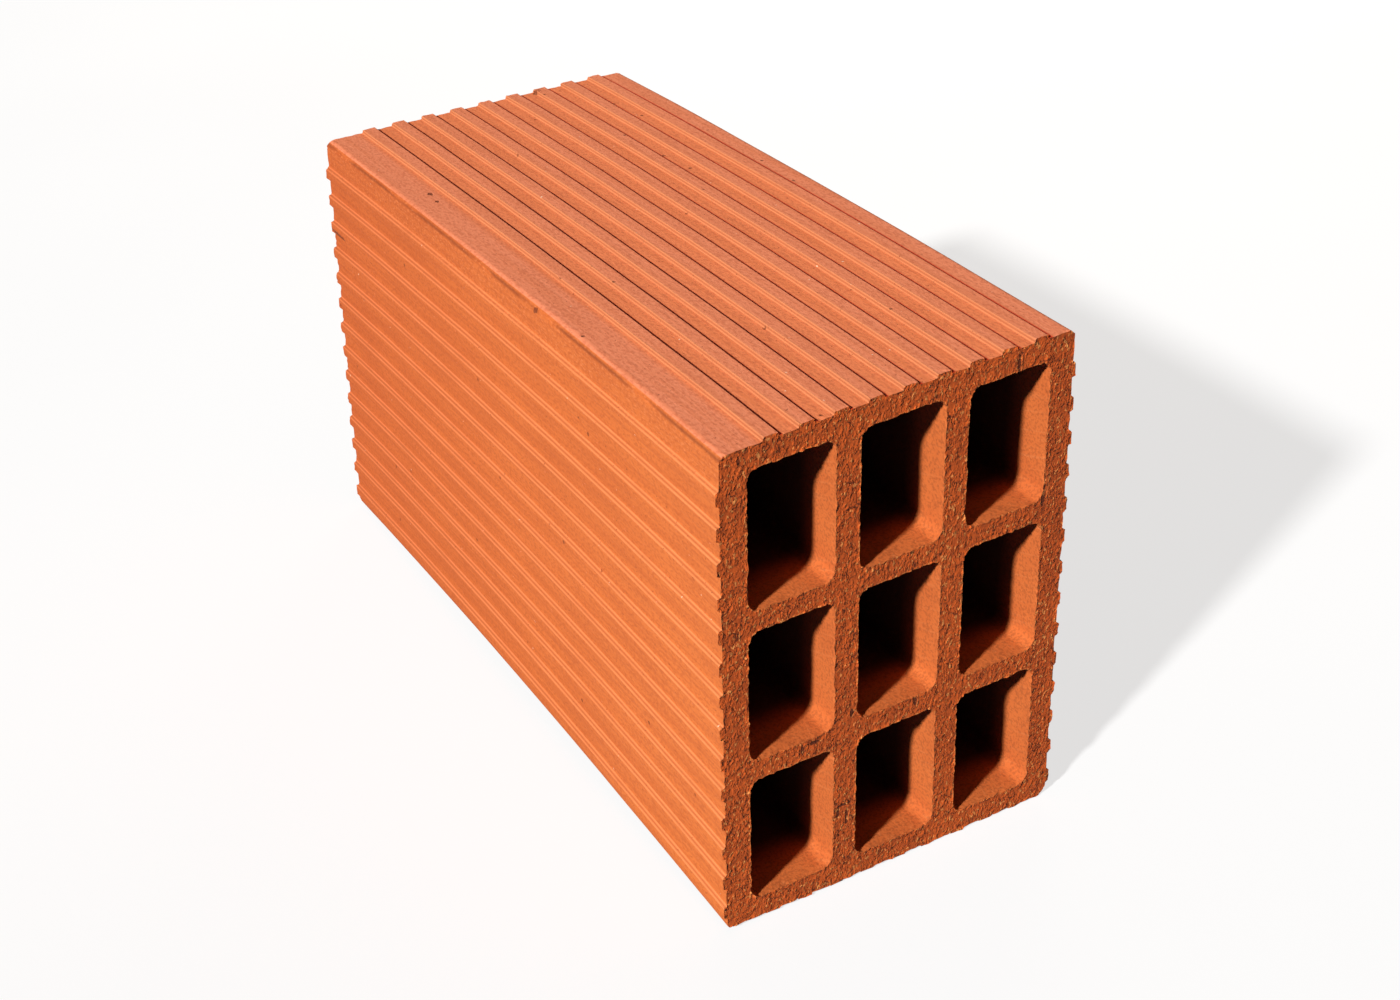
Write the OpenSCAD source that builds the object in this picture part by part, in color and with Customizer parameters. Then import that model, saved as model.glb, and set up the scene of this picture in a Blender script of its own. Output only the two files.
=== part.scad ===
// Hollow clay brick with nine cells running its full length and ribbed faces on all four sides.
// Millimetres, +Z up. The brick lies with its cells level and its ribbed bed on the floor.
// X is the width, Y the length the clay was pushed through the die, Z the height.
// The origin is the middle of the bed on the floor.

/* [Body] */
// Overall width across the side ribs
brick_w = 140; // [120:1:190]
// Overall height across the bed ribs
brick_h = 190; // [160:1:240]
// Length along the bed on the floor, between the two wire-cut ends
brick_l = 340; // [200:5:450]
// How much shorter the brick is at the top, because the wire cut the far end at a slant
far_lean = 20; // [0:1:30]
// Radius of the two upper long edges
top_edge_r = 3; // [1:0.5:5]
// Radius of the two lower long edges
bottom_edge_r = 4.5; // [1:0.5:6]

/* [Walls] */
// Upright outer wall, measured under the ribs
side_wall = 9; // [7:0.5:14]
// Flat outer wall at top and bottom, measured under the ribs
bed_wall = 7; // [6:0.5:12]
// Upright webs between the cells
upright_web = 9.4; // [6:0.2:14]
// Flat webs between the cells
flat_web = 8; // [6:0.5:14]

/* [Cells] */
// Cells side by side across the width
cell_columns = 3; // [2:1:4]
// Cells one above the other
cell_rows = 3; // [2:1:4]
// Radius in the four corners of every cell
cell_r = 4.5; // [2:0.5:6]

/* [Ribs] */
// Height of a rib above the plain skin
rib_h = 1.3; // [0.8:0.1:2.5]
// Distance from rib to rib on the top and bottom beds
bed_pitch = 13.2; // [10:0.2:18]
// Flat land of a bed rib, between its shoulders
bed_land = 5.4; // [3:0.2:7]
// Width of the steep flank on each side of a bed rib
bed_flank = 0.3; // [0.2:0.1:1.5]
// Plain strip from the left edge of a bed to its first rib
bed_left_margin = 15; // [8:0.5:20]
// Least plain strip from the last rib of a bed to its right edge
bed_right_margin = 8; // [6:0.5:16]
// Distance from rib to rib on the two side faces
side_pitch = 12.8; // [10:0.2:18]
// Flat land of a side rib, between its shoulders
side_land = 4.6; // [3:0.2:6]
// Width of the flank above and below a side rib
side_flank = 0.6; // [0.2:0.1:1.5]
// Plain strip from the top edge of a side face down to its first rib
side_top_margin = 10.5; // [6:0.5:18]

/* [Hidden] */
// Sub-parts by name
// Plain skin under the ribs
skin_w = brick_w - 2 * rib_h;
skin_h = brick_h - 2 * rib_h;
// Cells share what the walls and webs leave
cell_w = (skin_w - 2 * side_wall - (cell_columns - 1) * upright_web) / cell_columns;
cell_h = (skin_h - 2 * bed_wall - (cell_rows - 1) * flat_web) / cell_rows;
cell_step_x = cell_w + upright_web;
cell_step_z = cell_h + flat_web;
// Foot of a rib
bed_foot = bed_land + 2 * bed_flank;
side_foot = side_land + 2 * side_flank;
// Strips kept free of ribs, clear of the rounded long edges
edge_clear = max(top_edge_r, bottom_edge_r);
bed_left = max(bed_left_margin, edge_clear);
bed_right = max(bed_right_margin, edge_clear);
side_top = max(side_top_margin, edge_clear);
// How many ribs each face takes
bed_ribs = floor((skin_w - bed_left - bed_right - bed_foot) / bed_pitch) + 1;
side_ribs = floor((skin_h - side_top - edge_clear - side_foot) / side_pitch) + 1;
// How far a cutting shape reaches past what it cuts
over = 1;
clay = [0.86, 0.45, 0.25];

// Middle of a bed rib in X, counted from the left, and of a side rib in Z, counted from the top
function bed_place(i) = -skin_w / 2 + bed_left + bed_foot / 2 + i * bed_pitch;
function side_place(i) = brick_h - rib_h - side_top - side_foot / 2 - i * side_pitch;

// Points of one rib as [along the face, out of the skin], about its middle
function rib_points(land, flank) = [
    [-land / 2 - flank, 0],
    [-land / 2, rib_h],
    [land / 2, rib_h],
    [land / 2 + flank, 0]
];

// The ribbed outline of the section with square corners, once round
function outline() = let (
    bed = rib_points(bed_land, bed_flank),
    side = rib_points(side_land, side_flank),
    half_w = skin_w / 2,
    low = rib_h,
    high = brick_h - rib_h
) concat(
    [[-half_w, low]],
    [for (i = [0 : bed_ribs - 1]) for (p = bed) [bed_place(i) + p[0], low - p[1]]],
    [[half_w, low]],
    [for (i = [side_ribs - 1 : -1 : 0]) for (p = side) [half_w + p[1], side_place(i) + p[0]]],
    [[half_w, high]],
    [for (i = [bed_ribs - 1 : -1 : 0]) for (p = bed) [bed_place(i) - p[0], high + p[1]]],
    [[-half_w, high]],
    [for (i = [0 : side_ribs - 1]) for (p = side) [-half_w - p[1], side_place(i) - p[0]]]
);

// What a rounded long edge leaves out of the square corner
module edge_cut(side, edge_z, inward, r) {
    corner_x = side * skin_w / 2;
    centre_x = corner_x - side * r;
    centre_z = edge_z + inward * r;
    difference() {
        polygon([
            [centre_x, centre_z],
            [corner_x + side * over, centre_z],
            [corner_x + side * over, edge_z - inward * over],
            [centre_x, edge_z - inward * over]
        ]);
        translate([centre_x, centre_z])
            circle(r = r, $fn = 64);
    }
}

// One cell with rounded corners, its middle at the origin
module cell() {
    union() {
        square([cell_w - 2 * cell_r, cell_h], center = true);
        square([cell_w, cell_h - 2 * cell_r], center = true);
        for (sx = [-1, 1])
            for (sz = [-1, 1])
                translate([sx * (cell_w / 2 - cell_r), sz * (cell_h / 2 - cell_r)])
                    circle(r = cell_r, $fn = 64);
    }
}

// All cells in their rows and columns
module cells() {
    for (column = [0 : cell_columns - 1])
        for (row = [0 : cell_rows - 1])
            translate([
                (column - (cell_columns - 1) / 2) * cell_step_x,
                brick_h / 2 + (row - (cell_rows - 1) / 2) * cell_step_z
            ])
                cell();
}

// Section of the die: ribbed outline less its rounded long edges and the cells
module section() {
    difference() {
        polygon(outline());
        for (side = [-1, 1]) {
            edge_cut(side, brick_h - rib_h, -1, top_edge_r);
            edge_cut(side, rib_h, 1, bottom_edge_r);
        }
        cells();
    }
}

// What the slanting wire left off the far end, a wedge right across the brick
module far_waste() {
    slope = far_lean / brick_h;
    beyond = brick_l / 2 + far_lean + 2 * over;
    translate([-brick_w / 2 - over, 0, 0])
        rotate([90, 0, 90])
            linear_extrude(height = brick_w + 2 * over)
                polygon([
                    [brick_l / 2 + slope * over, -over],
                    [beyond, -over],
                    [beyond, brick_h + over],
                    [brick_l / 2 - far_lean - slope * over, brick_h + over]
                ]);
}

// The fired brick, the section pushed along its length and cut off at a slant
module brick() {
    color(clay)
        difference() {
            translate([0, brick_l / 2 + over, 0])
                rotate([90, 0, 0])
                    linear_extrude(height = brick_l + over)
                        section();
            far_waste();
        }
}

brick();
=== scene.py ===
"""The look of a fired hollow clay brick with nine cells, built on its CAD frame."""

import logging
import math
from dataclasses import dataclass, field
from enum import Enum

import bmesh
import bpy
import numpy as np
from mathutils import Matrix, Vector
from mathutils.geometry import delaunay_2d_cdt


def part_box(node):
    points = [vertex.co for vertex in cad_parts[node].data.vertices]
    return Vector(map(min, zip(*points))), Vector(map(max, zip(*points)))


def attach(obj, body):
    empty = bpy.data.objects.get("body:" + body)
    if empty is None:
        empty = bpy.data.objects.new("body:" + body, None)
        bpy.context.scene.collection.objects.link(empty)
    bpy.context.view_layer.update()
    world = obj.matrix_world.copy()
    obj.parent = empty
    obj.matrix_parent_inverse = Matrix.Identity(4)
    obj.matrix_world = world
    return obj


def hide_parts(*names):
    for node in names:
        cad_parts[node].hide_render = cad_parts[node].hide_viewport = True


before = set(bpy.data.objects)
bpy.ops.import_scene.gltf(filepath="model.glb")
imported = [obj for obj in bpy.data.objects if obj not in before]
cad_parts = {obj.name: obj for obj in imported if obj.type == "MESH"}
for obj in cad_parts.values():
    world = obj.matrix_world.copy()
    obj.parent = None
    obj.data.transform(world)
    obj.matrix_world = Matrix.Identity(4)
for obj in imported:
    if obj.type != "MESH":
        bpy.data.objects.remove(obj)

LOG = logging.getLogger("brick")
MM = 0.001
SHARP_BEND = 20.0

Triple = tuple[float, float, float]
Wires = dict[int | str, object]


class Surface(Enum):
    """The three kinds of surface on the brick, named as its face attributes."""

    SKIN = "skin"
    CUT = "cut"
    CELL = "cell_wall"


class Graph:
    """Short ways to add nodes to one node tree."""

    def __init__(self, tree: bpy.types.NodeTree) -> None:
        """Keeps the tree."""
        self.tree = tree

    def add(self, kind: str, wires: Wires | None = None, **settings: object) -> bpy.types.Node:
        """Adds a node and feeds its inputs.

        Args:
            kind: Blender's name for the node type.
            wires: Input name or number to a socket to link or a value to set.
            settings: Properties of the node itself.

        Returns:
            The new node.
        """
        node = self.tree.nodes.new(kind)
        for key, value in settings.items():
            setattr(node, key, value)
        for key, value in (wires or {}).items():
            if isinstance(value, bpy.types.NodeSocket):
                self.tree.links.new(value, node.inputs[key])
            else:
                node.inputs[key].default_value = value
        return node

    def math(self, operation: str, *terms: object) -> bpy.types.NodeSocket:
        """Returns the result of a Math node on the given terms."""
        return self.add("ShaderNodeMath", dict(enumerate(terms)), operation=operation).outputs[0]

    def vector(self, operation: str, *terms: object) -> bpy.types.NodeSocket:
        """Returns the vector result of a Vector Math node on the given terms."""
        return self.add("ShaderNodeVectorMath", dict(enumerate(terms)), operation=operation).outputs[0]

    def parts(self, vector: object) -> list[bpy.types.NodeSocket]:
        """Returns the X, Y and Z of a vector."""
        return list(self.add("ShaderNodeSeparateXYZ", {0: vector}).outputs)

    def joined(self, x: object, y: object, z: object) -> bpy.types.NodeSocket:
        """Returns a vector made of three numbers."""
        return self.add("ShaderNodeCombineXYZ", {0: x, 1: y, 2: z}).outputs[0]

    def blend(self, factor: object, a: object, b: object) -> bpy.types.NodeSocket:
        """Returns the vector between a and b at the given factor."""
        return self.add("ShaderNodeMix", {0: factor, 4: a, 5: b}, data_type="VECTOR").outputs[1]

    def noise(self, vector: object, scale: object, detail: float, seed: object) -> bpy.types.Node:
        """Adds fractal noise.

        Args:
            vector: Where the noise is read.
            scale: Waves per metre.
            detail: Number of finer layers.
            seed: Fourth coordinate, which sets the pattern.

        Returns:
            The noise node, with its value in output 0 and its colour in output 1.
        """
        wires = {"Vector": vector, "W": seed, "Scale": scale, "Detail": detail}
        return self.add("ShaderNodeTexNoise", wires, noise_dimensions="4D")

    def ramp(self, value: object, low: float, high: float, smooth: bool = True) -> bpy.types.NodeSocket:
        """Returns the value mapped from low..high onto 0..1 and held there."""
        kind = "SMOOTHSTEP" if smooth else "LINEAR"
        wires = {"Value": value, "From Min": low, "From Max": high}
        return self.add("ShaderNodeMapRange", wires, interpolation_type=kind).outputs[0]


@dataclass
class Section:
    """The brick's cross-section, read from the near end of its CAD node and meshed finely.

    The mesh lies in the plane y = 0 and faces -Y.
    """

    node: bpy.types.Object
    outline_step: float = 2.2 * MM
    cell_step: float = 1.5 * MM
    corner: float = 0.36 * MM
    guard: float = 0.4 * MM
    rib_height: float = 1.3 * MM
    longest_flank: float = 2.0 * MM
    upper_edge: float = 4.3 * MM
    lower_radius: float = 4.5 * MM
    # Reach of the painted highlight along the rib corners.
    crease_reach: float = 0.42 * MM
    # Reach of the painted shade beside the right-hand rib feet, growing towards the right.
    shade_reach: float = 2.0 * MM
    shade_growth: float = 0.007
    grain: float = 0.92 * MM
    swell_left: float = 0.9 * MM
    swell_right: float = 0.6 * MM
    swell_top: float = 1.3 * MM
    swell_bottom: float = 1.9 * MM
    pressed: float = 0.35
    squared: float = 0.6
    seed: int = 7

    def loops(self) -> list[np.ndarray]:
        """Returns the edges of the near end as closed loops of (x, z), the outer one first."""
        bm = bmesh.new()
        bm.from_mesh(self.node.data)
        bmesh.ops.remove_doubles(bm, verts=bm.verts, dist=1e-6)
        near = min(v.co.y for v in bm.verts)
        cap = {f for f in bm.faces if all(abs(v.co.y - near) < 1e-6 for v in f.verts)}
        rim = [e for e in bm.edges if sum(f in cap for f in e.link_faces) == 1]
        found = []
        while rim:
            edge = rim.pop()
            start, here = edge.verts
            loop = [start, here]
            while here is not start:
                edge = next(e for e in here.link_edges if e in rim)
                rim.remove(edge)
                here = edge.other_vert(here)
                loop.append(here)
            found.append(np.array([(v.co.x, v.co.z) for v in loop[:-1]]))
        bm.free()
        return sorted(found, key=lambda loop: -np.ptp(loop[:, 0]))

    @staticmethod
    def stops(length: float, step: float, guard: float) -> list[float]:
        """Tells where a stretch is split.

        Args:
            length: Length of the stretch.
            step: Longest part that is left whole.
            guard: Distance of an extra split from each end, or 0 for even splits.

        Returns:
            The splits as shares of the length.
        """
        if not guard:
            count = math.ceil(length / step - 1e-6)
            return [i / count for i in range(1, count)]
        if length <= 3 * guard:
            return [0.5]
        inner = length - 2 * guard
        count = math.ceil(inner / step)
        return [(guard + inner * i / count) / length for i in range(count + 1)]

    def refined(self, loop: np.ndarray, step: float, guard: float = 0.0) -> np.ndarray:
        """Splits a loop's long stretches and rounds its corners.

        Args:
            loop: Corners of the loop.
            step: Longest stretch that is left whole.
            guard: Distance of an extra split from each end of a stretch.

        Returns:
            The finer loop.
        """
        points = []
        for before, here, after in zip(np.roll(loop, 1, axis=0), loop, np.roll(loop, -1, axis=0)):
            back, ahead = before - here, after - here
            far_back, far_ahead = np.linalg.norm(back), np.linalg.norm(ahead)
            start = here + back * min(self.corner / far_back, 0.5)
            end = here + ahead * min(self.corner / far_ahead, 0.5)
            bend = math.degrees(math.acos(np.clip(-(back @ ahead) / (far_back * far_ahead), -1, 1)))
            if bend > SHARP_BEND:
                for t in (0.0, 0.33, 0.67, 1.0):
                    points.append((1 - t) ** 2 * start + 2 * t * (1 - t) * here + t * t * end)
            else:
                points.append(here)
                end = here
            rest = after + (here - after) * min(self.corner / far_ahead, 0.5) - end
            points += [end + rest * share for share in self.stops(np.linalg.norm(rest), step, guard)]
        return np.array(points)

    def flanks(self, raw: np.ndarray) -> tuple[np.ndarray, np.ndarray]:
        """Finds the corners of the ribs that show as lines.

        Args:
            raw: The outline with sharp corners.

        Returns:
            Corners that get a painted highlight, and those that get painted shade, at the right-hand feet of
            the upper ribs.
        """
        before, after = np.roll(raw, 1, axis=0), np.roll(raw, -1, axis=0)
        back, ahead = raw - before, after - raw
        far_back, far_ahead = np.linalg.norm(back, axis=1), np.linalg.norm(ahead, axis=1)
        sharp = (back * ahead).sum(1) / (far_back * far_ahead) < math.cos(math.radians(SHARP_BEND))
        across = np.where((far_back < self.longest_flank)[:, None], -back, ahead)
        top = raw[:, 1] > raw[:, 1].max() - 1.5 * MM
        foot = np.where(top, across[:, 1] > 0, across[:, 0] * raw[:, 0] > 0)
        right = top & ((across[:, 0] < 0) == foot)
        under = ~top & ((across[:, 1] > 0) == foot)
        return raw[sharp & ~right & ~under], raw[sharp & right & foot]

    @staticmethod
    def closeness(loop: np.ndarray, corners: np.ndarray, reach: float | np.ndarray) -> np.ndarray:
        """Returns 1 at the corners, fading to 0 over the reach."""
        away = np.linalg.norm(loop[:, None] - corners[None], axis=2).min(1)
        return np.exp(-((away / reach) ** 2))

    def relief(self, loop: np.ndarray, raw: np.ndarray) -> dict[str, np.ndarray]:
        """Reads the ribs off the outline.

        Args:
            loop: The fine outline.
            raw: The outline with sharp corners.

        Returns:
            By name: "rise", 0 in a groove to 1 on a rib; "bed", 1 on the beds and 0 on the sides;
            "land", 1 on the lands and margins of the beds, which gather dust; "seam", 1 along the rubbed
            upper left edge; "crease", 1 on corners with a painted highlight; "nook", 1 where shade is
            painted.
        """
        out = np.minimum(loop - loop.min(0), loop.max(0) - loop)
        height = np.clip(1 - out / self.rib_height, 0, 1)
        bed = out[:, 1] < np.minimum(out[:, 0], self.longest_flank)
        rise = np.where(bed, height[:, 1], height[:, 0])
        corner = (out < 5.9 * MM).all(1)
        ribs = loop[bed & (rise > 0.9), 0]
        margin = (loop[:, 0] < ribs.min() - 1.5 * MM) | (loop[:, 0] > ribs.max() + 1.5 * MM)
        left, top = loop.min(0)[0] + self.upper_edge, loop.max(0)[1] - self.upper_edge
        arc = (loop[:, 0] < left) & (loop[:, 1] > top)
        turn = np.arctan2(loop[:, 1] - top, left - loop[:, 0])
        # Corners that get a painted highlight line, and rib feet that get painted shade.
        lined, shaded = self.flanks(raw)
        # Painted shade: a dark strip beside the right-hand feet of the top ribs, wider towards the right.
        shade = self.closeness(loop, shaded, self.shade_reach + self.shade_growth * loop[:, 0])
        return {
            "crease": self.closeness(loop, lined, self.crease_reach),
            "nook": np.where(rise < 0.1, shade, 0.0),
            "seam": np.where(arc, np.exp(-(((turn - 0.55) / 0.25) ** 2)), 0.0),
            "rise": np.where(corner, 0.0, rise),
            "bed": bed.astype(float),
            "land": np.where(margin, 1.0, rise) * bed,
        }

    def swollen(self, loop: np.ndarray) -> np.ndarray:
        """Sets the outer faces outwards, as fired walls are thicker, and presses the ribs it lies on.

        Args:
            loop: The fine outline.

        Returns:
            The outline with its margins stretched and its ribs in place.
        """
        low, high = loop.min(0), loop.max(0)
        x, z = loop.T
        faces = (
            (x - low[0], -self.swell_left, 0.0, 8.0 * MM),
            (high[0] - x, self.swell_right, 0.0, 8.0 * MM),
            (high[1] - z, 0.0, self.swell_top, 8.0 * MM),
            (z - low[1], 0.0, -self.swell_bottom, 30.0 * MM),
        )
        moved = loop.copy()
        skin = low + self.rib_height
        moved[:, 1] = np.where(z < skin[1], skin[1] + (z - skin[1]) * self.pressed, z)
        spoke = loop - skin - self.lower_radius
        arc = (spoke < -1e-6).all(1) & (np.linalg.norm(spoke, axis=1) < self.lower_radius * 1.02)
        square = self.lower_radius / np.maximum(np.abs(spoke).max(1), 1e-9)
        stretch = np.where(arc, 1 + self.squared * (square - 1), 1.0)
        moved = np.where(arc[:, None], skin + self.lower_radius + spoke * stretch[:, None], moved)
        for inward, dx, dz, reach in faces:
            share = np.clip(1 - (inward - 4.0 * MM) / reach, 0, 1)
            moved += (share * share * (3 - 2 * share))[:, None] * (dx, dz)
        return moved

    def inner_points(self, loops: list[np.ndarray]) -> tuple[np.ndarray, np.ndarray]:
        """Scatters points over the clay between the loops.

        Args:
            loops: The outer loop and the cells.

        Returns:
            The points and the distance from each to the nearest edge.
        """
        rng = np.random.default_rng(self.seed)
        low, high = loops[0].min(0), loops[0].max(0)
        rows = np.arange(low[1], high[1], self.grain * math.sqrt(3) / 2)
        columns = np.arange(low[0], high[0], self.grain)
        x, z = np.meshgrid(columns, rows)
        x[1::2] += self.grain / 2
        spots = np.column_stack([x.ravel(), z.ravel()])
        spots += rng.uniform(-0.22, 0.22, spots.shape) * self.grain
        inside = self.holds(loops[0], spots)
        for cell in loops[1:]:
            inside &= ~self.holds(cell, spots)
        spots = spots[inside]
        edge = np.full(len(spots), np.inf)
        for loop in loops:
            for a, b in zip(loop, np.roll(loop, -1, axis=0)):
                along = np.clip(((spots - a) @ (b - a)) / max((b - a) @ (b - a), 1e-18), 0, 1)
                edge = np.minimum(edge, np.linalg.norm(spots - a - along[:, None] * (b - a), axis=1))
        clear = edge > 0.5 * self.grain
        return spots[clear], edge[clear]

    @staticmethod
    def holds(loop: np.ndarray, spots: np.ndarray) -> np.ndarray:
        """Tells which spots lie inside a closed loop.

        Args:
            loop: Corners of the loop.
            spots: Points to test.

        Returns:
            One truth value for each spot.
        """
        inside = np.zeros(len(spots), bool)
        for a, b in zip(loop, np.roll(loop, -1, axis=0)):
            if a[1] == b[1]:
                continue
            crosses = (a[1] > spots[:, 1]) != (b[1] > spots[:, 1])
            at = a[0] + (spots[:, 1] - a[1]) / (b[1] - a[1]) * (b[0] - a[0])
            inside ^= crosses & (spots[:, 0] < at)
        return inside

    def mesh(self) -> bpy.types.Mesh:
        """Returns the section as a fine flat mesh with its attributes stored on its points."""
        raw = self.loops()
        straight = self.refined(raw[0], self.outline_step, self.guard)
        outline = self.swollen(straight)
        loops = [outline] + [self.refined(loop, self.cell_step) for loop in raw[1:]]
        spots, distance = self.inner_points(loops)
        points = np.vstack([*loops, spots])
        edges = []
        start = 0
        for loop in loops:
            count = len(loop)
            edges += [(start + i, start + (i + 1) % count) for i in range(count)]
            start += count
        flat = [Vector((p[0], p[1])) for p in points]
        result = delaunay_2d_cdt(flat, edges, [], 1, 1e-7)
        sources = np.array([ids[0] for ids in result[3]])
        corners = np.array([tuple(v) for v in result[0]])
        triangles = np.array([tuple(f) for f in result[2]])
        middles = corners[triangles].mean(1)
        keep = self.holds(loops[0], middles)
        for cell in loops[1:]:
            keep &= ~self.holds(cell, middles)
        triangles = triangles[keep]
        mesh = bpy.data.meshes.new("section")
        mesh.from_pydata([(x, 0.0, z) for x, z in corners], [], triangles.tolist())
        rim = np.concatenate([np.zeros(start), distance])[sources]
        in_cell = (sources >= len(outline)) & (sources < start)
        stored = {"rim": rim, "in_cell": in_cell.astype(float)}
        for name, values in self.relief(straight, raw[0]).items():
            stored[name] = np.concatenate([values, np.zeros(len(points) - len(outline))])[sources]
        for name, values in stored.items():
            mesh.attributes.new(name, "FLOAT", "POINT").data.foreach_set("value", values)
        LOG.info("section: %d loops, %d points, %d faces", len(loops), len(corners), len(triangles))
        return mesh


@dataclass(frozen=True)
class Warp:
    """How far drying and firing moved the corners and long edges, in millimetres."""

    near_low_left: Triple = (-0.5, 0.0, 2.0)
    near_low_right: Triple = (0.0, -0.4, 1.3)
    near_high_left: Triple = (0.5, -0.7, 0.0)
    near_high_right: Triple = (-1.1, 1.9, 3.9)
    far_low_left: Triple = (0.3, 0.0, 1.8)
    far_low_right: Triple = (0.0, 0.0, 1.5)
    far_high_left: Triple = (0.4, -1.3, -1.2)
    far_high_right: Triple = (2.4, -1.4, 1.7)
    bow_low: float = 4.0
    bow_high: float = 1.6

    def vectors(self) -> dict[str, Triple]:
        """Returns the eight corner moves in metres, by the name of their tree input."""
        names = [n for n in self.__dataclass_fields__ if not n.startswith("bow")]
        return {n.replace("_", " ").title(): tuple(v * MM for v in getattr(self, n)) for n in names}


@dataclass
class BrickTree:
    """The Geometry Nodes tree that pushes the section along the length and roughens its ends."""

    size: Vector
    floor: float
    tear_waves: float = 240.0
    grit_waves: float = 620.0
    crumb_waves: float = 700.0
    ragged_waves: float = 900.0
    slow_waves: float = 30.0
    rim_fade: float = 0.7 * MM
    end_fade: float = 1.3 * MM
    soft_angle: float = 48.0
    graph: Graph = field(init=False)
    ports: dict[str, bpy.types.NodeSocket] = field(init=False)

    def __post_init__(self) -> None:
        """Makes the tree with its named inputs."""
        tree = bpy.data.node_groups.new("BrickSweep", "GeometryNodeTree")
        face = tree.interface
        face.new_socket("Geometry", in_out="OUTPUT", socket_type="NodeSocketGeometry")
        face.new_socket("Section", in_out="INPUT", socket_type="NodeSocketGeometry")
        torn = ("Tear Depth", "Grit Depth", "Lip Height", "Ragged")
        for name in ("Length", "Lean", "Crowding", *torn, "Waver", "Bow Low", "Bow High", "Seed"):
            face.new_socket(name, in_out="INPUT", socket_type="NodeSocketFloat")
        face.new_socket("Rings", in_out="INPUT", socket_type="NodeSocketInt")
        for name in Warp().vectors():
            face.new_socket(name, in_out="INPUT", socket_type="NodeSocketVector")
        for kind in Surface:
            face.new_socket(kind.value, in_out="INPUT", socket_type="NodeSocketMaterial")
        self.graph = Graph(tree)
        self.ports = {s.name: s for s in self.graph.add("NodeGroupInput").outputs if s.name}

    def position(self) -> bpy.types.NodeSocket:
        """Returns the position field."""
        return self.graph.add("GeometryNodeInputPosition").outputs[0]

    def value(self, name: str) -> bpy.types.NodeSocket:
        """Returns a stored number as a field."""
        return self.graph.add("GeometryNodeInputNamedAttribute", {"Name": name}, data_type="FLOAT").outputs[0]

    def store(self, mesh: object, name: str, value: object, domain: str = "POINT") -> bpy.types.NodeSocket:
        """Stores a number on the mesh.

        Args:
            mesh: Geometry to store it on.
            name: Name of the attribute.
            value: Field to store.
            domain: Points or faces.

        Returns:
            The geometry with the attribute.
        """
        wires = {"Geometry": mesh, "Name": name, "Value": value}
        node = self.graph.add("GeometryNodeStoreNamedAttribute", wires, data_type="FLOAT", domain=domain)
        return node.outputs[0]

    def moved(self, mesh: object, offset: object) -> bpy.types.NodeSocket:
        """Returns the mesh with every point moved by the offset field."""
        return self.graph.add("GeometryNodeSetPosition", {"Geometry": mesh, "Offset": offset}).outputs[0]

    def swept(self) -> bpy.types.NodeSocket:
        """Returns the closed sweep, one ring apart in Y for every ring."""
        g = self.graph
        begin = g.add("GeometryNodeRepeatInput", {})
        end = g.add("GeometryNodeRepeatOutput", {})
        begin.pair_with_output(end)
        g.tree.links.new(self.ports["Rings"], begin.inputs["Iterations"])
        g.tree.links.new(self.ports["Section"], begin.inputs["Geometry"])
        faces = g.add("GeometryNodeInputMeshEdgeNeighbors").outputs[0]
        front = g.add("FunctionNodeCompare", {2: faces, 3: 1}, data_type="INT", operation="EQUAL").outputs[0]
        ahead = g.joined(0.0, 1.0, 0.0)
        wires = {"Mesh": begin.outputs["Geometry"], "Selection": front, "Offset": ahead}
        push = g.add("GeometryNodeExtrudeMesh", wires, mode="EDGES")
        g.tree.links.new(push.outputs[0], end.inputs["Geometry"])
        away = g.joined(0.0, self.ports["Rings"], 0.0)
        far = g.add("GeometryNodeTransform", {"Geometry": self.ports["Section"], "Translation": away})
        turned = g.add("GeometryNodeFlipFaces", {"Mesh": far.outputs[0]})
        both = g.add("GeometryNodeJoinGeometry")
        g.tree.links.new(end.outputs["Geometry"], both.inputs[0])
        g.tree.links.new(turned.outputs[0], both.inputs[0])
        whole = {"Geometry": both.outputs[0], "Distance": 1e-6}
        return g.add("GeometryNodeMergeByDistance", whole).outputs[0]

    def spaced(self, mesh: object) -> bpy.types.NodeSocket:
        """Spreads the rings over the length, crowded towards both ends, and stores what they are.

        Args:
            mesh: The sweep with one unit between rings.

        Returns:
            The sweep at its real length with the attributes of its surfaces.
        """
        g = self.graph
        place = self.position()
        share = g.math("DIVIDE", g.parts(place)[1], self.ports["Rings"])
        side = g.math("SIGN", g.math("SUBTRACT", share, 0.5))
        normal = g.add("GeometryNodeInputNormal").outputs[0]
        across = g.math("ABSOLUTE", g.parts(normal)[1])
        is_cut = g.math("GREATER_THAN", across, 0.9)
        on_wall = g.math("LESS_THAN", across, 0.9)
        inner = g.math("MULTIPLY", g.math("GREATER_THAN", self.value("in_cell"), 0.99), on_wall)
        mesh = self.store(mesh, Surface.CUT.value, is_cut, "FACE")
        mesh = self.store(mesh, Surface.CELL.value, inner, "FACE")
        mesh = self.store(mesh, "end_side", side)
        wave = g.math("SINE", g.math("MULTIPLY", share, math.tau))
        pull = g.math("MULTIPLY", wave, g.math("DIVIDE", self.ports["Crowding"], math.tau))
        eased = g.math("SUBTRACT", share, pull)
        mesh = self.store(mesh, "along", eased)
        mesh = self.store(mesh, "inset", self.end_distance())
        x, _, z = g.parts(place)
        shorter = g.math("MULTIPLY", self.ports["Lean"], self.height_share(z))
        whole = g.math("SUBTRACT", self.ports["Length"], shorter)
        half = g.math("MULTIPLY", self.ports["Length"], 0.5)
        y = g.math("SUBTRACT", g.math("MULTIPLY", eased, whole), half)
        return g.add("GeometryNodeSetPosition", {"Geometry": mesh, "Position": g.joined(x, y, z)}).outputs[0]

    def height_share(self, z: object) -> bpy.types.NodeSocket:
        """Returns a height as a share of the brick's own."""
        return self.graph.math("DIVIDE", self.graph.math("SUBTRACT", z, self.floor), self.size.z)

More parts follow.
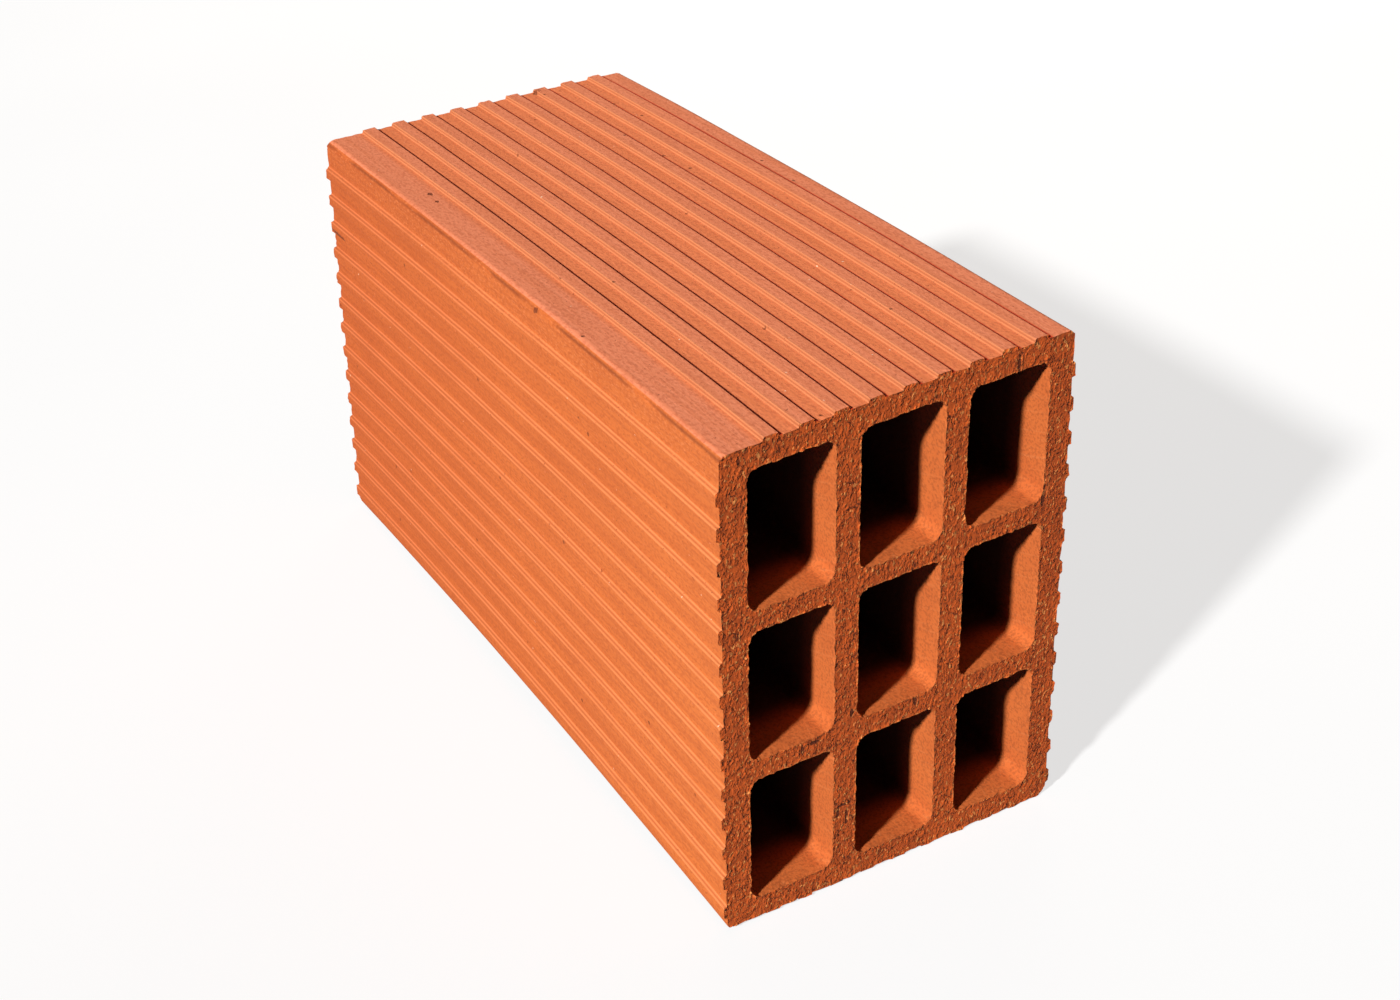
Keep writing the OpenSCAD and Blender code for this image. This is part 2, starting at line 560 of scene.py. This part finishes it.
    def end_distance(self) -> bpy.types.NodeSocket:
        """Returns how far a point is from the nearer cut end."""
        g = self.graph
        along = self.value("along")
        nearer = g.math("MINIMUM", along, g.math("SUBTRACT", 1.0, along))
        return g.math("MULTIPLY", nearer, self.ports["Length"])

    def signed(self, vector: object, scale: float, detail: float, shift: float) -> bpy.types.NodeSocket:
        """Returns noise about zero, from about -1 to 1."""
        g = self.graph
        seed = g.math("ADD", self.ports["Seed"], shift)
        return g.math("MULTIPLY_ADD", g.noise(vector, scale, detail, seed).outputs[0], 2.0, -1.0)

    def torn(self, mesh: object) -> bpy.types.NodeSocket:
        """Roughens the cut ends: tears and grit on the faces, raised lips and ragged edges.

        Args:
            mesh: The smooth brick.

        Returns:
            The brick with torn ends.
        """
        g = self.graph
        place = self.position()
        away = self.end_distance()
        on_end = g.math("LESS_THAN", away, 1e-5)
        tear = g.math("MULTIPLY", self.signed(place, self.tear_waves, 3.0, 0.0), self.ports["Tear Depth"])
        grit = g.math("MULTIPLY", self.signed(place, self.grit_waves, 2.0, 3.0), self.ports["Grit Depth"])
        near_rim = g.math("EXPONENT", g.math("DIVIDE", self.value("rim"), -self.rim_fade))
        seed = g.math("ADD", self.ports["Seed"], 8.0)
        crumbs = g.ramp(g.noise(place, self.crumb_waves, 2.0, seed).outputs[0], 0.46, 0.66)
        mouth = g.math("MULTIPLY_ADD", self.value("in_cell"), 0.35, 0.65)
        lip = g.math("MULTIPLY", g.math("MULTIPLY", near_rim, crumbs), self.ports["Lip Height"])
        out = g.math("MULTIPLY", g.math("ADD", g.math("ADD", tear, grit), lip), on_end)
        out = g.math("MULTIPLY", out, self.value("end_side"))
        fade = g.math("EXPONENT", g.math("DIVIDE", away, -self.end_fade))
        depth = g.math("MULTIPLY", mouth, self.ports["Ragged"])
        reach = g.math("MULTIPLY", g.math("MULTIPLY", fade, near_rim), depth)
        x = g.math("MULTIPLY", self.signed(place, self.ragged_waves, 2.0, 11.0), reach)
        z = g.math("MULTIPLY", self.signed(place, self.ragged_waves, 2.0, 17.0), reach)
        return self.moved(mesh, g.joined(x, out, z))

    def wavered(self, mesh: object) -> bpy.types.NodeSocket:
        """Returns the brick with the slow unevenness of soft clay on all its walls."""
        g = self.graph
        place = g.vector("MULTIPLY", self.position(), (1.0, 0.45, 1.0))
        x = g.math("MULTIPLY", self.signed(place, self.slow_waves, 1.0, 23.0), self.ports["Waver"])
        z = g.math("MULTIPLY", self.signed(place, self.slow_waves, 1.0, 29.0), self.ports["Waver"])
        return self.moved(mesh, g.joined(x, 0.0, z))

    def warped(self, mesh: object) -> bpy.types.NodeSocket:
        """Moves the eight corners and bows the long edges.

        Args:
            mesh: The straight brick.

        Returns:
            The warped brick.
        """
        g = self.graph
        place = self.position()
        x, _, z = g.parts(place)
        u = g.math("ADD", g.math("DIVIDE", x, self.size.x), 0.5)
        w = self.height_share(z)
        v = self.value("along")
        levels = []
        for level in ("Low", "High"):
            sides = [
                g.blend(v, self.ports[f"Near {level} {side}"], self.ports[f"Far {level} {side}"])
                for side in ("Left", "Right")
            ]
            levels.append(g.blend(u, *sides))
        shift = g.blend(w, *levels)
        hump = g.math("MULTIPLY", g.math("MULTIPLY", v, g.math("SUBTRACT", 1.0, v)), 4.0)
        rise = g.math("SUBTRACT", self.ports["Bow High"], self.ports["Bow Low"])
        bow = g.math("MULTIPLY", hump, g.math("MULTIPLY_ADD", w, rise, self.ports["Bow Low"]))
        return self.moved(mesh, g.vector("ADD", shift, g.joined(0.0, 0.0, bow)))

    def finish(self, mesh: object) -> None:
        """Sets smooth shading with crisp cut edges, then the materials, and ends the tree."""
        g = self.graph
        angle = g.add("GeometryNodeInputMeshEdgeAngle").outputs[0]
        limit = math.radians(self.soft_angle)
        soft = g.add("FunctionNodeCompare", {0: angle, 1: limit}, operation="LESS_THAN").outputs[0]
        smooth = g.add("GeometryNodeSetShadeSmooth", {0: mesh, "Shade Smooth": soft}, domain="EDGE")
        last = g.add("GeometryNodeRealizeInstances", {0: smooth.outputs[0]}).outputs[0]
        for kind in Surface:
            wires = {"Geometry": last, "Material": self.ports[kind.value]}
            if kind is not Surface.SKIN:
                wires["Selection"] = g.math("GREATER_THAN", self.value(kind.value), 0.5)
            last = g.add("GeometryNodeSetMaterial", wires).outputs[0]
        out = g.add("NodeGroupOutput")
        g.tree.links.new(last, out.inputs[0])

    def build(self) -> bpy.types.NodeTree:
        """Returns the whole tree."""
        self.finish(self.warped(self.wavered(self.torn(self.spaced(self.swept())))))
        return self.graph.tree


@dataclass(frozen=True)
class Mark:
    """One scar of the real brick, an ellipsoid at its place, in millimetres."""

    place: Triple
    reach: Triple


class Shader(Graph):
    """A material's node tree with the clay's common nodes."""

    def __init__(self, name: str) -> None:
        """Makes an empty material that reads Object coordinates."""
        self.material = bpy.data.materials.new(name)
        self.material.use_nodes = True
        super().__init__(self.material.node_tree)
        self.tree.nodes.clear()
        self.place = self.add("ShaderNodeTexCoord").outputs["Object"]

    def attribute(self, name: str) -> bpy.types.NodeSocket:
        """Returns a stored number."""
        return self.add("ShaderNodeAttribute", attribute_name=name).outputs["Fac"]

    def mix(self, factor: object, a: object, b: object, kind: str = "MIX") -> bpy.types.NodeSocket:
        """Returns a colour mixed from two.

        Args:
            factor: Share of the second colour.
            a: First colour.
            b: Second colour.
            kind: How they are mixed.

        Returns:
            The mixed colour.
        """
        wires = {0: factor, 6: a, 7: b}
        for key in (6, 7):
            if isinstance(wires[key], tuple):
                wires[key] = (*wires[key][:3], 1.0)
        return self.add("ShaderNodeMix", wires, data_type="RGBA", blend_type=kind).outputs[2]

    def stretched(self, scale: Triple, turn: Triple = (0.0, 0.0, 0.0)) -> bpy.types.NodeSocket:
        """Returns Object coordinates turned and then scaled, for grain that runs one way."""
        wires = {"Vector": self.place, "Rotation": turn}
        turned = self.add("ShaderNodeMapping", wires).outputs[0]
        return self.vector("MULTIPLY", turned, scale)

    def spots(self, marks: tuple[Mark, ...]) -> bpy.types.NodeSocket:
        """Returns 1 inside any of the marks and 0 outside, with soft and slightly ragged edges."""
        ragged = self.math("MULTIPLY_ADD", self.noise(self.place, 900.0, 2.0, 41.0).outputs[0], 1.4, -0.7)
        total = None
        for mark in marks:
            away = self.vector("SUBTRACT", self.place, tuple(v * MM for v in mark.place))
            share = self.vector("DIVIDE", away, tuple(v * MM for v in mark.reach))
            far = self.add("ShaderNodeVectorMath", {0: share}, operation="LENGTH").outputs["Value"]
            inside = self.math("SUBTRACT", 1.0, self.ramp(self.math("ADD", far, ragged), 0.6, 1.0))
            total = inside if total is None else self.math("MAXIMUM", total, inside)
        return total

    def finish(
        self, colour: object, roughness: object, height: object, depth: float, glow: float = 0.0
    ) -> bpy.types.Material:
        """Ends the material.

        Args:
            colour: Base colour.
            roughness: Roughness.
            height: Relief from 0 to 1.
            depth: What a relief of 1 stands for, in metres.
            glow: Strength of an even white light of its own.

        Returns:
            The material.
        """
        bump = self.add("ShaderNodeBump", {"Height": height, "Distance": depth, "Strength": 1.0})
        wires = {"Base Color": colour, "Roughness": roughness, "Normal": bump.outputs[0]}
        wires |= {"Emission Color": (1.0, 1.0, 1.0, 1.0), "Emission Strength": glow}
        clay = self.add("ShaderNodeBsdfPrincipled", {**wires, "Specular IOR Level": 0.25})
        out = self.add("ShaderNodeOutputMaterial")
        self.tree.links.new(clay.outputs[0], out.inputs[0])
        return self.material


@dataclass(frozen=True)
class SkinFinish:
    """Outer skin: orange sides, a pink top, drag lines, creases with painted highlights, and pits.

    Shade is painted at the right-hand feet of the upper ribs and towards the far end of the sides.
    """

    orange: Triple = (0.655, 0.162, 0.0320)
    deep: Triple = (0.52, 0.114, 0.0225)
    pink: Triple = (0.750, 0.221, 0.104)
    dust: Triple = (0.775, 0.242, 0.117)
    trough: Triple = (0.775, 0.211, 0.079)
    side_grain: Triple = (0.46, 0.096, 0.0185)
    # Painted highlight on the side rib corners; also the colour of the scuff band near the top of the sides.
    bed_grain: Triple = (0.50, 0.118, 0.048)
    side_flank: Triple = (0.46, 0.126, 0.034)
    side_highlight_and_scuff: Triple = (0.77, 0.235, 0.0765)
    bed_flank: Triple = (0.38, 0.106, 0.038)
    # Colour of the painted shade at the right-hand feet of the top ribs.
    nook: Triple = (0.50, 0.020, 0.001)
    # Painted shade: the sides darken towards the far end.
    far_shade: Triple = (0.82, 0.70, 0.70)
    # Painted highlight on the top rib corners.
    bed_crease: Triple = (0.64, 0.215, 0.086)
    dark: Triple = (0.14, 0.026, 0.008)
    seam: Triple = (0.13, 0.024, 0.007)
    chalk: Triple = (0.85, 0.55, 0.38)
    roughness: float = 0.82
    pits: tuple[Mark, ...] = (
        Mark((-57.7, 66.5, 190.0), (1.1, 1.8, 3.0)),
        Mark((-58.7, 57.4, 190.0), (0.9, 1.4, 3.0)),
        Mark((-68.6, -48.4, 189.0), (1.2, 1.6, 1.4)),
        Mark((7.4, 46.0, 190.0), (1.2, 1.8, 3.0)),
        Mark((60.2, -43.6, 190.0), (1.4, 2.2, 3.0)),
        Mark((56.3, -88.0, 190.0), (1.4, 2.0, 3.0)),
        Mark((48.1, -24.9, 190.0), (1.2, 1.8, 3.0)),
        Mark((62.3, -119.3, 190.0), (1.4, 2.0, 3.0)),
        Mark((-14.2, -109.4, 190.0), (1.1, 1.6, 3.0)),
        Mark((28.7, 146.5, 190.0), (2.6, 2.6, 3.0)),
        Mark((-70.0, 146.0, 148.0), (3.0, 10.0, 0.7)),
    )

    def material(self) -> bpy.types.Material:
        """Returns the skin's material."""
        s = Shader("clay_skin")
        slow = s.ramp(s.noise(s.place, 26.0, 3.0, 1.0).outputs[0], 0.35, 0.68)
        drag = s.noise(s.stretched((1.0, 0.02, 1.0)), 620.0, 3.0, 2.0).outputs[0]
        on_bed = s.attribute("bed")
        mottle = s.ramp(s.noise(s.stretched((1.0, 0.5, 1.0)), 1000.0, 4.0, 3.0).outputs[0], 0.36, 0.72)
        side = s.mix(s.math("MULTIPLY", slow, 0.35), self.orange, self.deep)
        bed = s.mix(s.attribute("land"), self.trough, s.mix(mottle, self.pink, self.dust))
        colour = s.mix(on_bed, side, bed)
        streaked = s.math("MULTIPLY_ADD", on_bed, -0.3, 0.5)
        colour = s.mix(s.math("MULTIPLY", s.ramp(drag, 0.46, 0.58), streaked), colour, self.deep)
        grain = s.noise(s.stretched((1.0, 0.6, 1.0)), 950.0, 4.0, 6.0).outputs[0]
        darker = s.mix(on_bed, self.side_grain, self.bed_grain)
        speckled = s.math("MULTIPLY_ADD", on_bed, -0.1, 0.55)
        colour = s.mix(s.math("MULTIPLY", s.ramp(grain, 0.47, 0.62), speckled), colour, darker)
        rise = s.attribute("rise")
        fall = s.math("SUBTRACT", 1.0, rise)
        flank = s.math("MULTIPLY", s.ramp(rise, 0.02, 0.12), s.ramp(fall, 0.02, 0.12))
        colour = s.mix(flank, colour, s.mix(on_bed, self.side_flank, self.bed_flank))
        # Painted highlight along the rib corners, broken up by noise.
        broken = s.ramp(s.noise(s.stretched((1.0, 0.12, 1.0)), 300.0, 2.0, 7.0).outputs[0], 0.2, 0.55)
        crease = s.math("MULTIPLY", s.attribute("crease"), s.math("MULTIPLY_ADD", broken, 0.4, 0.6))
        colour = s.mix(crease, colour, s.mix(on_bed, self.side_highlight_and_scuff, self.bed_crease))
        # Painted shade at the right-hand feet of the top ribs.
        shade = s.ramp(s.attribute("nook"), 0.43, 0.70)
        colour = s.mix(s.math("MULTIPLY", shade, 0.92), colour, self.nook)
        on_side = s.math("SUBTRACT", 1.0, on_bed)
        _, along, up = s.parts(s.place)
        # Painted shade: the sides darken steadily towards the far end.
        farther = s.math("MULTIPLY", s.ramp(along, -170.0 * MM, 170.0 * MM, smooth=False), on_side)
        colour = s.mix(farther, colour, self.far_shade, "MULTIPLY")
        scuffed = s.math("MULTIPLY", s.ramp(up, 171.0 * MM, 181.0 * MM), on_side)
        scuff = s.ramp(s.noise(s.stretched((1.0, 0.4, 1.0)), 1500.0, 3.0, 8.0).outputs[0], 0.50, 0.68)
        colour = s.mix(s.math("MULTIPLY", s.math("MULTIPLY", scuffed, scuff), 0.4), colour, self.side_highlight_and_scuff)
        lined = s.ramp(s.noise(s.stretched((1.0, 0.1, 1.0)), 260.0, 2.0, 9.0).outputs[0], 0.34, 0.52)
        split = s.math("MULTIPLY", s.attribute("seam"), lined)
        colour = s.mix(s.math("MULTIPLY", split, 0.65), colour, self.seam)
        specks = s.noise(s.place, 1100.0, 1.0, 4.0).outputs[0]
        colour = s.mix(s.math("MULTIPLY", s.ramp(specks, 0.68, 0.76), 0.6), colour, self.dark)
        flecks = s.noise(s.place, 800.0, 1.0, 5.0).outputs[0]
        colour = s.mix(s.math("MULTIPLY", s.ramp(flecks, 0.70, 0.80), 0.5), colour, self.dust)
        chips = s.noise(s.place, 520.0, 1.0, 10.0).outputs[0]
        colour = s.mix(s.math("MULTIPLY", s.ramp(chips, 0.775, 0.80), 0.8), colour, self.chalk)
        small = s.add("ShaderNodeTexVoronoi", {"Vector": s.place, "Scale": 62.0}).outputs["Distance"]
        pit = s.math("SUBTRACT", 1.0, s.ramp(small, 0.025, 0.06))
        pit = s.math("MAXIMUM", s.math("MULTIPLY", pit, 0.8), s.spots(self.pits))
        colour = s.mix(s.math("MULTIPLY", pit, 0.8), colour, self.dark)
        height = s.math("MULTIPLY_ADD", drag, 0.5, s.math("MULTIPLY", grain, 0.8))
        height = s.math("SUBTRACT", height, s.math("MULTIPLY", pit, 1.6))
        return s.finish(colour, self.roughness, height, 0.26 * MM)


@dataclass(frozen=True)
class CutFinish:
    """Wire-cut end: brown, torn and gritty, short cracks, sand-coloured flecks and edge crumbs partly painted
    as highlight.
    """

    brown: Triple = (0.74, 0.122, 0.0150)
    dark: Triple = (0.36, 0.053, 0.0076)
    crack: Triple = (0.10, 0.018, 0.005)
    # Sand-coloured clay, partly a painted highlight on lit lips and edges.
    sandy: Triple = (0.95, 0.33, 0.085)
    orange: Triple = (0.78, 0.185, 0.042)
    roughness: float = 0.92
    scars: tuple[Mark, ...] = (
        Mark((59.1, -169.0, 135.5), (0.9, 4.0, 8.5)),
        Mark((-20.7, -170.0, 29.5), (0.7, 4.0, 4.6)),
        Mark((-24.3, -170.0, 33.2), (0.7, 4.0, 3.6)),
        Mark((-22.2, -170.0, 35.6), (3.6, 4.0, 0.7)),
        Mark((-33.9, -170.0, 68.1), (2.8, 4.0, 0.9)),
        Mark((-39.0, -170.0, 66.8), (0.7, 4.0, 2.8)),
        Mark((-18.9, -170.0, 74.5), (0.9, 4.0, 2.0)),
        Mark((7.5, -170.0, 68.8), (0.8, 4.0, 3.6)),
        Mark((45.4, -168.4, 188.0), (0.8, 4.0, 4.0)),
    )
    ridges: tuple[Mark, ...] = (
        Mark((60.9, -169.0, 137.5), (0.7, 4.0, 8.5)),
        Mark((-19.5, -170.0, 29.5), (0.5, 4.0, 4.4)),
        Mark((8.7, -170.0, 68.8), (0.5, 4.0, 3.0)),
        Mark((46.5, -168.4, 187.0), (0.5, 4.0, 3.6)),
    )

    def material(self) -> bpy.types.Material:
        """Returns the cut end's material."""
        s = Shader("clay_cut")
        broad = s.noise(s.place, 70.0, 3.0, 11.0).outputs[0]
        upright = s.stretched((1.0, 1.0, 0.6))
        lumps = s.noise(upright, 850.0, 3.0, 12.0).outputs[0]
        grit = s.noise(s.place, 950.0, 2.0, 15.0).outputs[0]
        colour = s.mix(s.math("MULTIPLY", s.ramp(broad, 0.35, 0.7), 0.3), self.brown, self.dark)
        # Painted shade: the end darkens towards its right side.
        right = s.ramp(s.parts(s.place)[0], 40.0 * MM, 66.0 * MM)
        colour = s.mix(s.math("MULTIPLY", right, 0.22), colour, self.dark)
        colour = s.mix(s.math("MULTIPLY", s.ramp(lumps, 0.5, 0.72), 0.22), colour, self.dark)
        colour = s.mix(s.math("MULTIPLY", s.ramp(grit, 0.50, 0.66), 0.45), colour, self.dark)
        vein = s.noise(s.stretched((1.0, 1.0, 0.5)), 420.0, 3.0, 16.0).outputs[0]
        beside = s.math("ABSOLUTE", s.math("SUBTRACT", vein, 0.5))
        thin = s.math("SUBTRACT", 1.0, s.ramp(beside, 0.004, 0.024))
        short = s.ramp(s.noise(s.place, 260.0, 2.0, 17.0).outputs[0], 0.54, 0.62)
        cracks = s.math("MAXIMUM", s.math("MULTIPLY", thin, short), s.spots(self.scars))
        colour = s.mix(s.math("MULTIPLY", cracks, 0.9), colour, self.crack)
        holes = s.ramp(s.noise(s.place, 950.0, 1.0, 18.0).outputs[0], 0.67, 0.72)
        colour = s.mix(s.math("MULTIPLY", holes, 0.85), colour, self.crack)
        ridge = s.spots(self.ridges)
        colour = s.mix(s.math("MULTIPLY", ridge, 0.6), colour, self.orange)
        # Pale flakes: sand-coloured clay, partly a painted highlight on lips lit from the left.
        flakes = s.ramp(s.noise(upright, 900.0, 2.0, 13.0).outputs[0], 0.59, 0.64)
        colour = s.mix(s.math("MULTIPLY", flakes, 0.95), colour, self.sandy)
        # Pale rims at the edges of the end and the cell mouths: crumbs, partly a painted highlight where the
        # edges catch the light.
        edge = s.math("SUBTRACT", 1.0, s.ramp(s.attribute("rim"), 0.1 * MM, 0.8 * MM))
        crumbs = s.ramp(s.noise(s.place, 900.0, 2.0, 14.0).outputs[0], 0.44, 0.6)
        mouth = s.math("MULTIPLY_ADD", s.attribute("in_cell"), 0.45, 0.15)
        colour = s.mix(s.math("MULTIPLY", s.math("MULTIPLY", edge, crumbs), mouth), colour, self.sandy)
        height = s.math("MULTIPLY_ADD", grit, 0.35, s.math("MULTIPLY", lumps, -0.3))
        for scale, step, seed in ((820.0, 0.55, 19.0), (1000.0, 0.5, 20.0)):
            torn = s.noise(upright, scale, 3.0, seed).outputs[0]
            patch = s.ramp(s.noise(s.place, scale * 0.4, 1.0, seed + 0.5).outputs[0], 0.42, 0.58)
            shelf = s.math("MULTIPLY", s.ramp(torn, 0.46, 0.58), patch)
            height = s.math("MULTIPLY_ADD", shelf, step, height)
        height = s.math("MULTIPLY_ADD", s.math("MAXIMUM", flakes, ridge), 0.4, height)
        hollow = s.math("MAXIMUM", cracks, s.math("MULTIPLY", holes, 0.6))
        height = s.math("SUBTRACT", height, s.math("MULTIPLY", hollow, 0.8))
        return s.finish(colour, self.roughness, height, 0.46 * MM)


@dataclass(frozen=True)
class CellFinish:
    """Inside of a cell: smooth orange clay with slanting drag scratches, with shade painted further in."""

    orange: Triple = (0.575, 0.132, 0.0275)
    deep: Triple = (0.53, 0.117, 0.0245)
    pale: Triple = (0.64, 0.200, 0.063)
    # Painted shade deep in the cells; also the colour of the dark grain on the walls.
    inner: Triple = (0.045, 0.012, 0.005)
    slant: float = 20.0
    roughness: float = 0.85

    def material(self) -> bpy.types.Material:
        """Returns the cell wall's material."""
        s = Shader("clay_cell")
        turn = (math.radians(self.slant), 0.0, 0.0)
        scratch = s.noise(s.stretched((1.0, 0.04, 1.0), turn), 800.0, 3.0, 21.0).outputs[0]
        slow = s.ramp(s.noise(s.place, 60.0, 3.0, 22.0).outputs[0], 0.38, 0.66)
        colour = s.mix(slow, self.orange, self.deep)
        colour = s.mix(s.math("MULTIPLY", s.ramp(scratch, 0.54, 0.72), 0.32), colour, self.pale)
        # Painted shade: the walls turn near black from 10 to 24 mm inside the cell.
        further = s.ramp(s.attribute("inset"), 10.0 * MM, 24.0 * MM)
        colour = s.mix(s.math("MULTIPLY", further, 0.95), colour, self.inner)
        grain = s.noise(s.place, 950.0, 3.0, 23.0).outputs[0]
        colour = s.mix(s.math("MULTIPLY", s.ramp(grain, 0.46, 0.62), 0.27), colour, self.inner)
        height = s.math("MULTIPLY_ADD", scratch, 0.45, s.math("MULTIPLY", grain, 0.8))
        return s.finish(colour, self.roughness, height, 0.25 * MM)


@dataclass
class Brick:
    """The fired brick: its section swept along its length, torn at the ends and warped."""

    node: bpy.types.Object
    low: Vector
    high: Vector
    rings: int = 26
    crowding: float = 0.95
    tear_depth: float = 0.22 * MM
    grit_depth: float = 0.11 * MM
    lip_height: float = 0.4 * MM
    ragged: float = 0.95 * MM
    waver: float = 0.35 * MM
    seed: float = 4.0
    warp: Warp = Warp()

    def materials(self) -> dict[Surface, bpy.types.Material]:
        """Returns the finish of each kind of surface."""
        return {
            Surface.SKIN: SkinFinish().material(),
            Surface.CUT: CutFinish().material(),
            Surface.CELL: CellFinish().material(),
        }

    def lean(self) -> float:
        """Returns how much shorter the CAD node is at its top, where the wire cut the far end at a slant."""
        tops = [v.co.y for v in self.node.data.vertices if v.co.z > self.high.z - 0.01 * MM]
        return self.high.y - max(tops)

    def inputs(self) -> dict[str, object]:
        """Returns the tree's inputs by name."""
        numbers = {
            "Length": self.high.y - self.low.y,
            "Lean": self.lean(),
            "Crowding": self.crowding,
            "Tear Depth": self.tear_depth,
            "Grit Depth": self.grit_depth,
            "Lip Height": self.lip_height,
            "Ragged": self.ragged,
            "Waver": self.waver,
            "Bow Low": self.warp.bow_low * MM,
            "Bow High": self.warp.bow_high * MM,
            "Seed": self.seed,
            "Rings": self.rings,
        }
        finishes = {kind.value: material for kind, material in self.materials().items()}
        return {**numbers, **self.warp.vectors(), **finishes}

    def build(self) -> bpy.types.Object:
        """Returns the finished piece as a plain mesh, riding on the frame in place of its CAD node."""
        flat = bpy.data.objects.new("section", Section(self.node).mesh())
        bpy.context.scene.collection.objects.link(flat)
        tree = BrickTree(self.high - self.low, self.low.z).build()
        modifier = flat.modifiers.new("sweep", "NODES")
        modifier.node_group = tree
        values = self.inputs()
        for item in tree.interface.items_tree:
            if item.in_out == "INPUT" and item.name in values:
                modifier[item.identifier] = values[item.name]
        bpy.context.view_layer.update()
        graph = bpy.context.evaluated_depsgraph_get()
        mesh = bpy.data.meshes.new_from_object(flat.evaluated_get(graph))
        bpy.data.objects.remove(flat)
        mesh.name = "brick_clay"
        piece = bpy.data.objects.new("brick_clay", mesh)
        bpy.context.scene.collection.objects.link(piece)
        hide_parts("brick")
        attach(piece, "root")
        return piece


@dataclass
class Studio:
    """Plain pale floor, a key light from the front left, soft overhead and back lamps and the camera."""

    centre: Vector
    floor: float
    floor_size: float = 12.0
    floor_colour: Triple = (0.25, 0.25, 0.248)
    floor_glow: float = 0.71
    key_from: Triple = (-0.795, -0.318, 0.517)
    key_strength: float = 5.3
    key_angle: float = 4.0
    fill_height: float = 1.6
    fill_size: float = 2.0
    fill_power: float = 2.2
    fill_colour: Triple = (1.0, 0.74, 0.55)
    back_from: Triple = (1.0, 1.05, 0.3)
    back_size: float = 0.7
    back_power: float = 5.0
    world_strength: float = 0.025
    horizon: float = 0.92
    azimuth: float = -29.481
    elevation: float = 31.161
    roll: float = -1.864
    lens: float = 49.561
    stand: Triple = (-0.3172, -0.5979, 0.4742)

    def build(self) -> None:
        """Builds the floor, the lights and the camera."""
        self.build_floor()
        self.build_lights()
        self.build_camera()

    def build_floor(self) -> None:
        """Lays the floor under the brick."""
        half = self.floor_size / 2
        corners = [(-half, -half), (half, -half), (half, half), (-half, half)]
        mesh = bpy.data.meshes.new("floor")
        mesh.from_pydata([(x, y, self.floor) for x, y in corners], [], [(0, 1, 2, 3)])
        s = Shader("floor_pale")
        tint = s.ramp(s.noise(s.place, 1.5, 2.0, 31.0).outputs[0], 0.3, 0.7)
        colour = s.mix(s.math("MULTIPLY", tint, 0.03), self.floor_colour, (1.0, 1.0, 1.0))
        height = s.noise(s.place, 90.0, 2.0, 32.0).outputs[0]
        mesh.materials.append(s.finish(colour, 0.9, height, 0.02 * MM, self.floor_glow))
        floor = bpy.data.objects.new("floor", mesh)
        floor.visible_diffuse = False
        bpy.context.scene.collection.objects.link(floor)

    def build_lights(self) -> None:
        """Hangs the key, fill and back lamps and sets a faint surround with a pale horizon."""
        scene = bpy.context.scene
        key = bpy.data.lights.new("key", "SUN")
        key.energy = self.key_strength
        key.angle = math.radians(self.key_angle)
        lamp = bpy.data.objects.new("key", key)
        lamp.rotation_euler = Vector(self.key_from).to_track_quat("Z", "Y").to_euler()
        scene.collection.objects.link(lamp)
        self.hang("fill", Vector((0.0, 0.0, self.fill_height)), self.fill_size, self.fill_power)
        self.hang("back", Vector(self.back_from), self.back_size, self.back_power)
        world = bpy.data.worlds.new("surround")
        world.use_nodes = True
        nodes = Graph(world.node_tree)
        seen = nodes.add("ShaderNodeLightPath").outputs["Is Camera Ray"]
        strength = nodes.math("MULTIPLY_ADD", seen, self.horizon, self.world_strength)
        background = world.node_tree.nodes["Background"]
        background.inputs["Color"].default_value = (1.0, 1.0, 1.0, 1.0)
        world.node_tree.links.new(strength, background.inputs["Strength"])
        scene.world = world
        scene.view_settings.view_transform = "Standard"

    def hang(self, name: str, place: Vector, size: float, power: float) -> None:
        """Hangs a soft lamp that faces the brick.

        Args:
            name: Name of the lamp.
            place: Where it hangs, from the middle of the brick.
            size: Width of the lamp.
            power: Its power in watts.
        """
        data = bpy.data.lights.new(name, "AREA")
        data.energy = power
        data.color = self.fill_colour
        data.size = size
        lamp = bpy.data.objects.new(name, data)
        lamp.location = self.centre + place
        lamp.rotation_euler = place.to_track_quat("Z", "Y").to_euler()
        bpy.context.scene.collection.objects.link(lamp)

    def build_camera(self) -> None:
        """Sets up the camera where the photograph was taken from."""
        turn, tilt, roll = (math.radians(a) for a in (self.azimuth, self.elevation, self.roll))
        back = Vector((math.sin(turn) * math.cos(tilt), -math.cos(turn) * math.cos(tilt), math.sin(tilt)))
        level = Vector((0.0, 0.0, 1.0)).cross(back).normalized()
        upright = back.cross(level)
        right = level * math.cos(roll) + upright * math.sin(roll)
        up = upright * math.cos(roll) - level * math.sin(roll)
        data = bpy.data.cameras.new("camera")
        data.lens = self.lens
        data.sensor_width = 36.0
        data.clip_start = 0.01
        camera = bpy.data.objects.new("camera", data)
        camera.matrix_world = Matrix.Translation(self.stand) @ Matrix((right, up, back)).transposed().to_4x4()
        bpy.context.scene.collection.objects.link(camera)
        bpy.context.scene.camera = camera


def main() -> None:
    """Builds the brick and its studio in order."""
    logging.basicConfig(level=logging.INFO)
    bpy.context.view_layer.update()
    low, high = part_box("brick")
    piece = Brick(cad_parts["brick"], low, high).build()
    LOG.info("%s: %d faces", piece.name, len(piece.data.polygons))
    Studio((low + high) / 2, low.z).build()


if __name__ == "__main__":
    main()
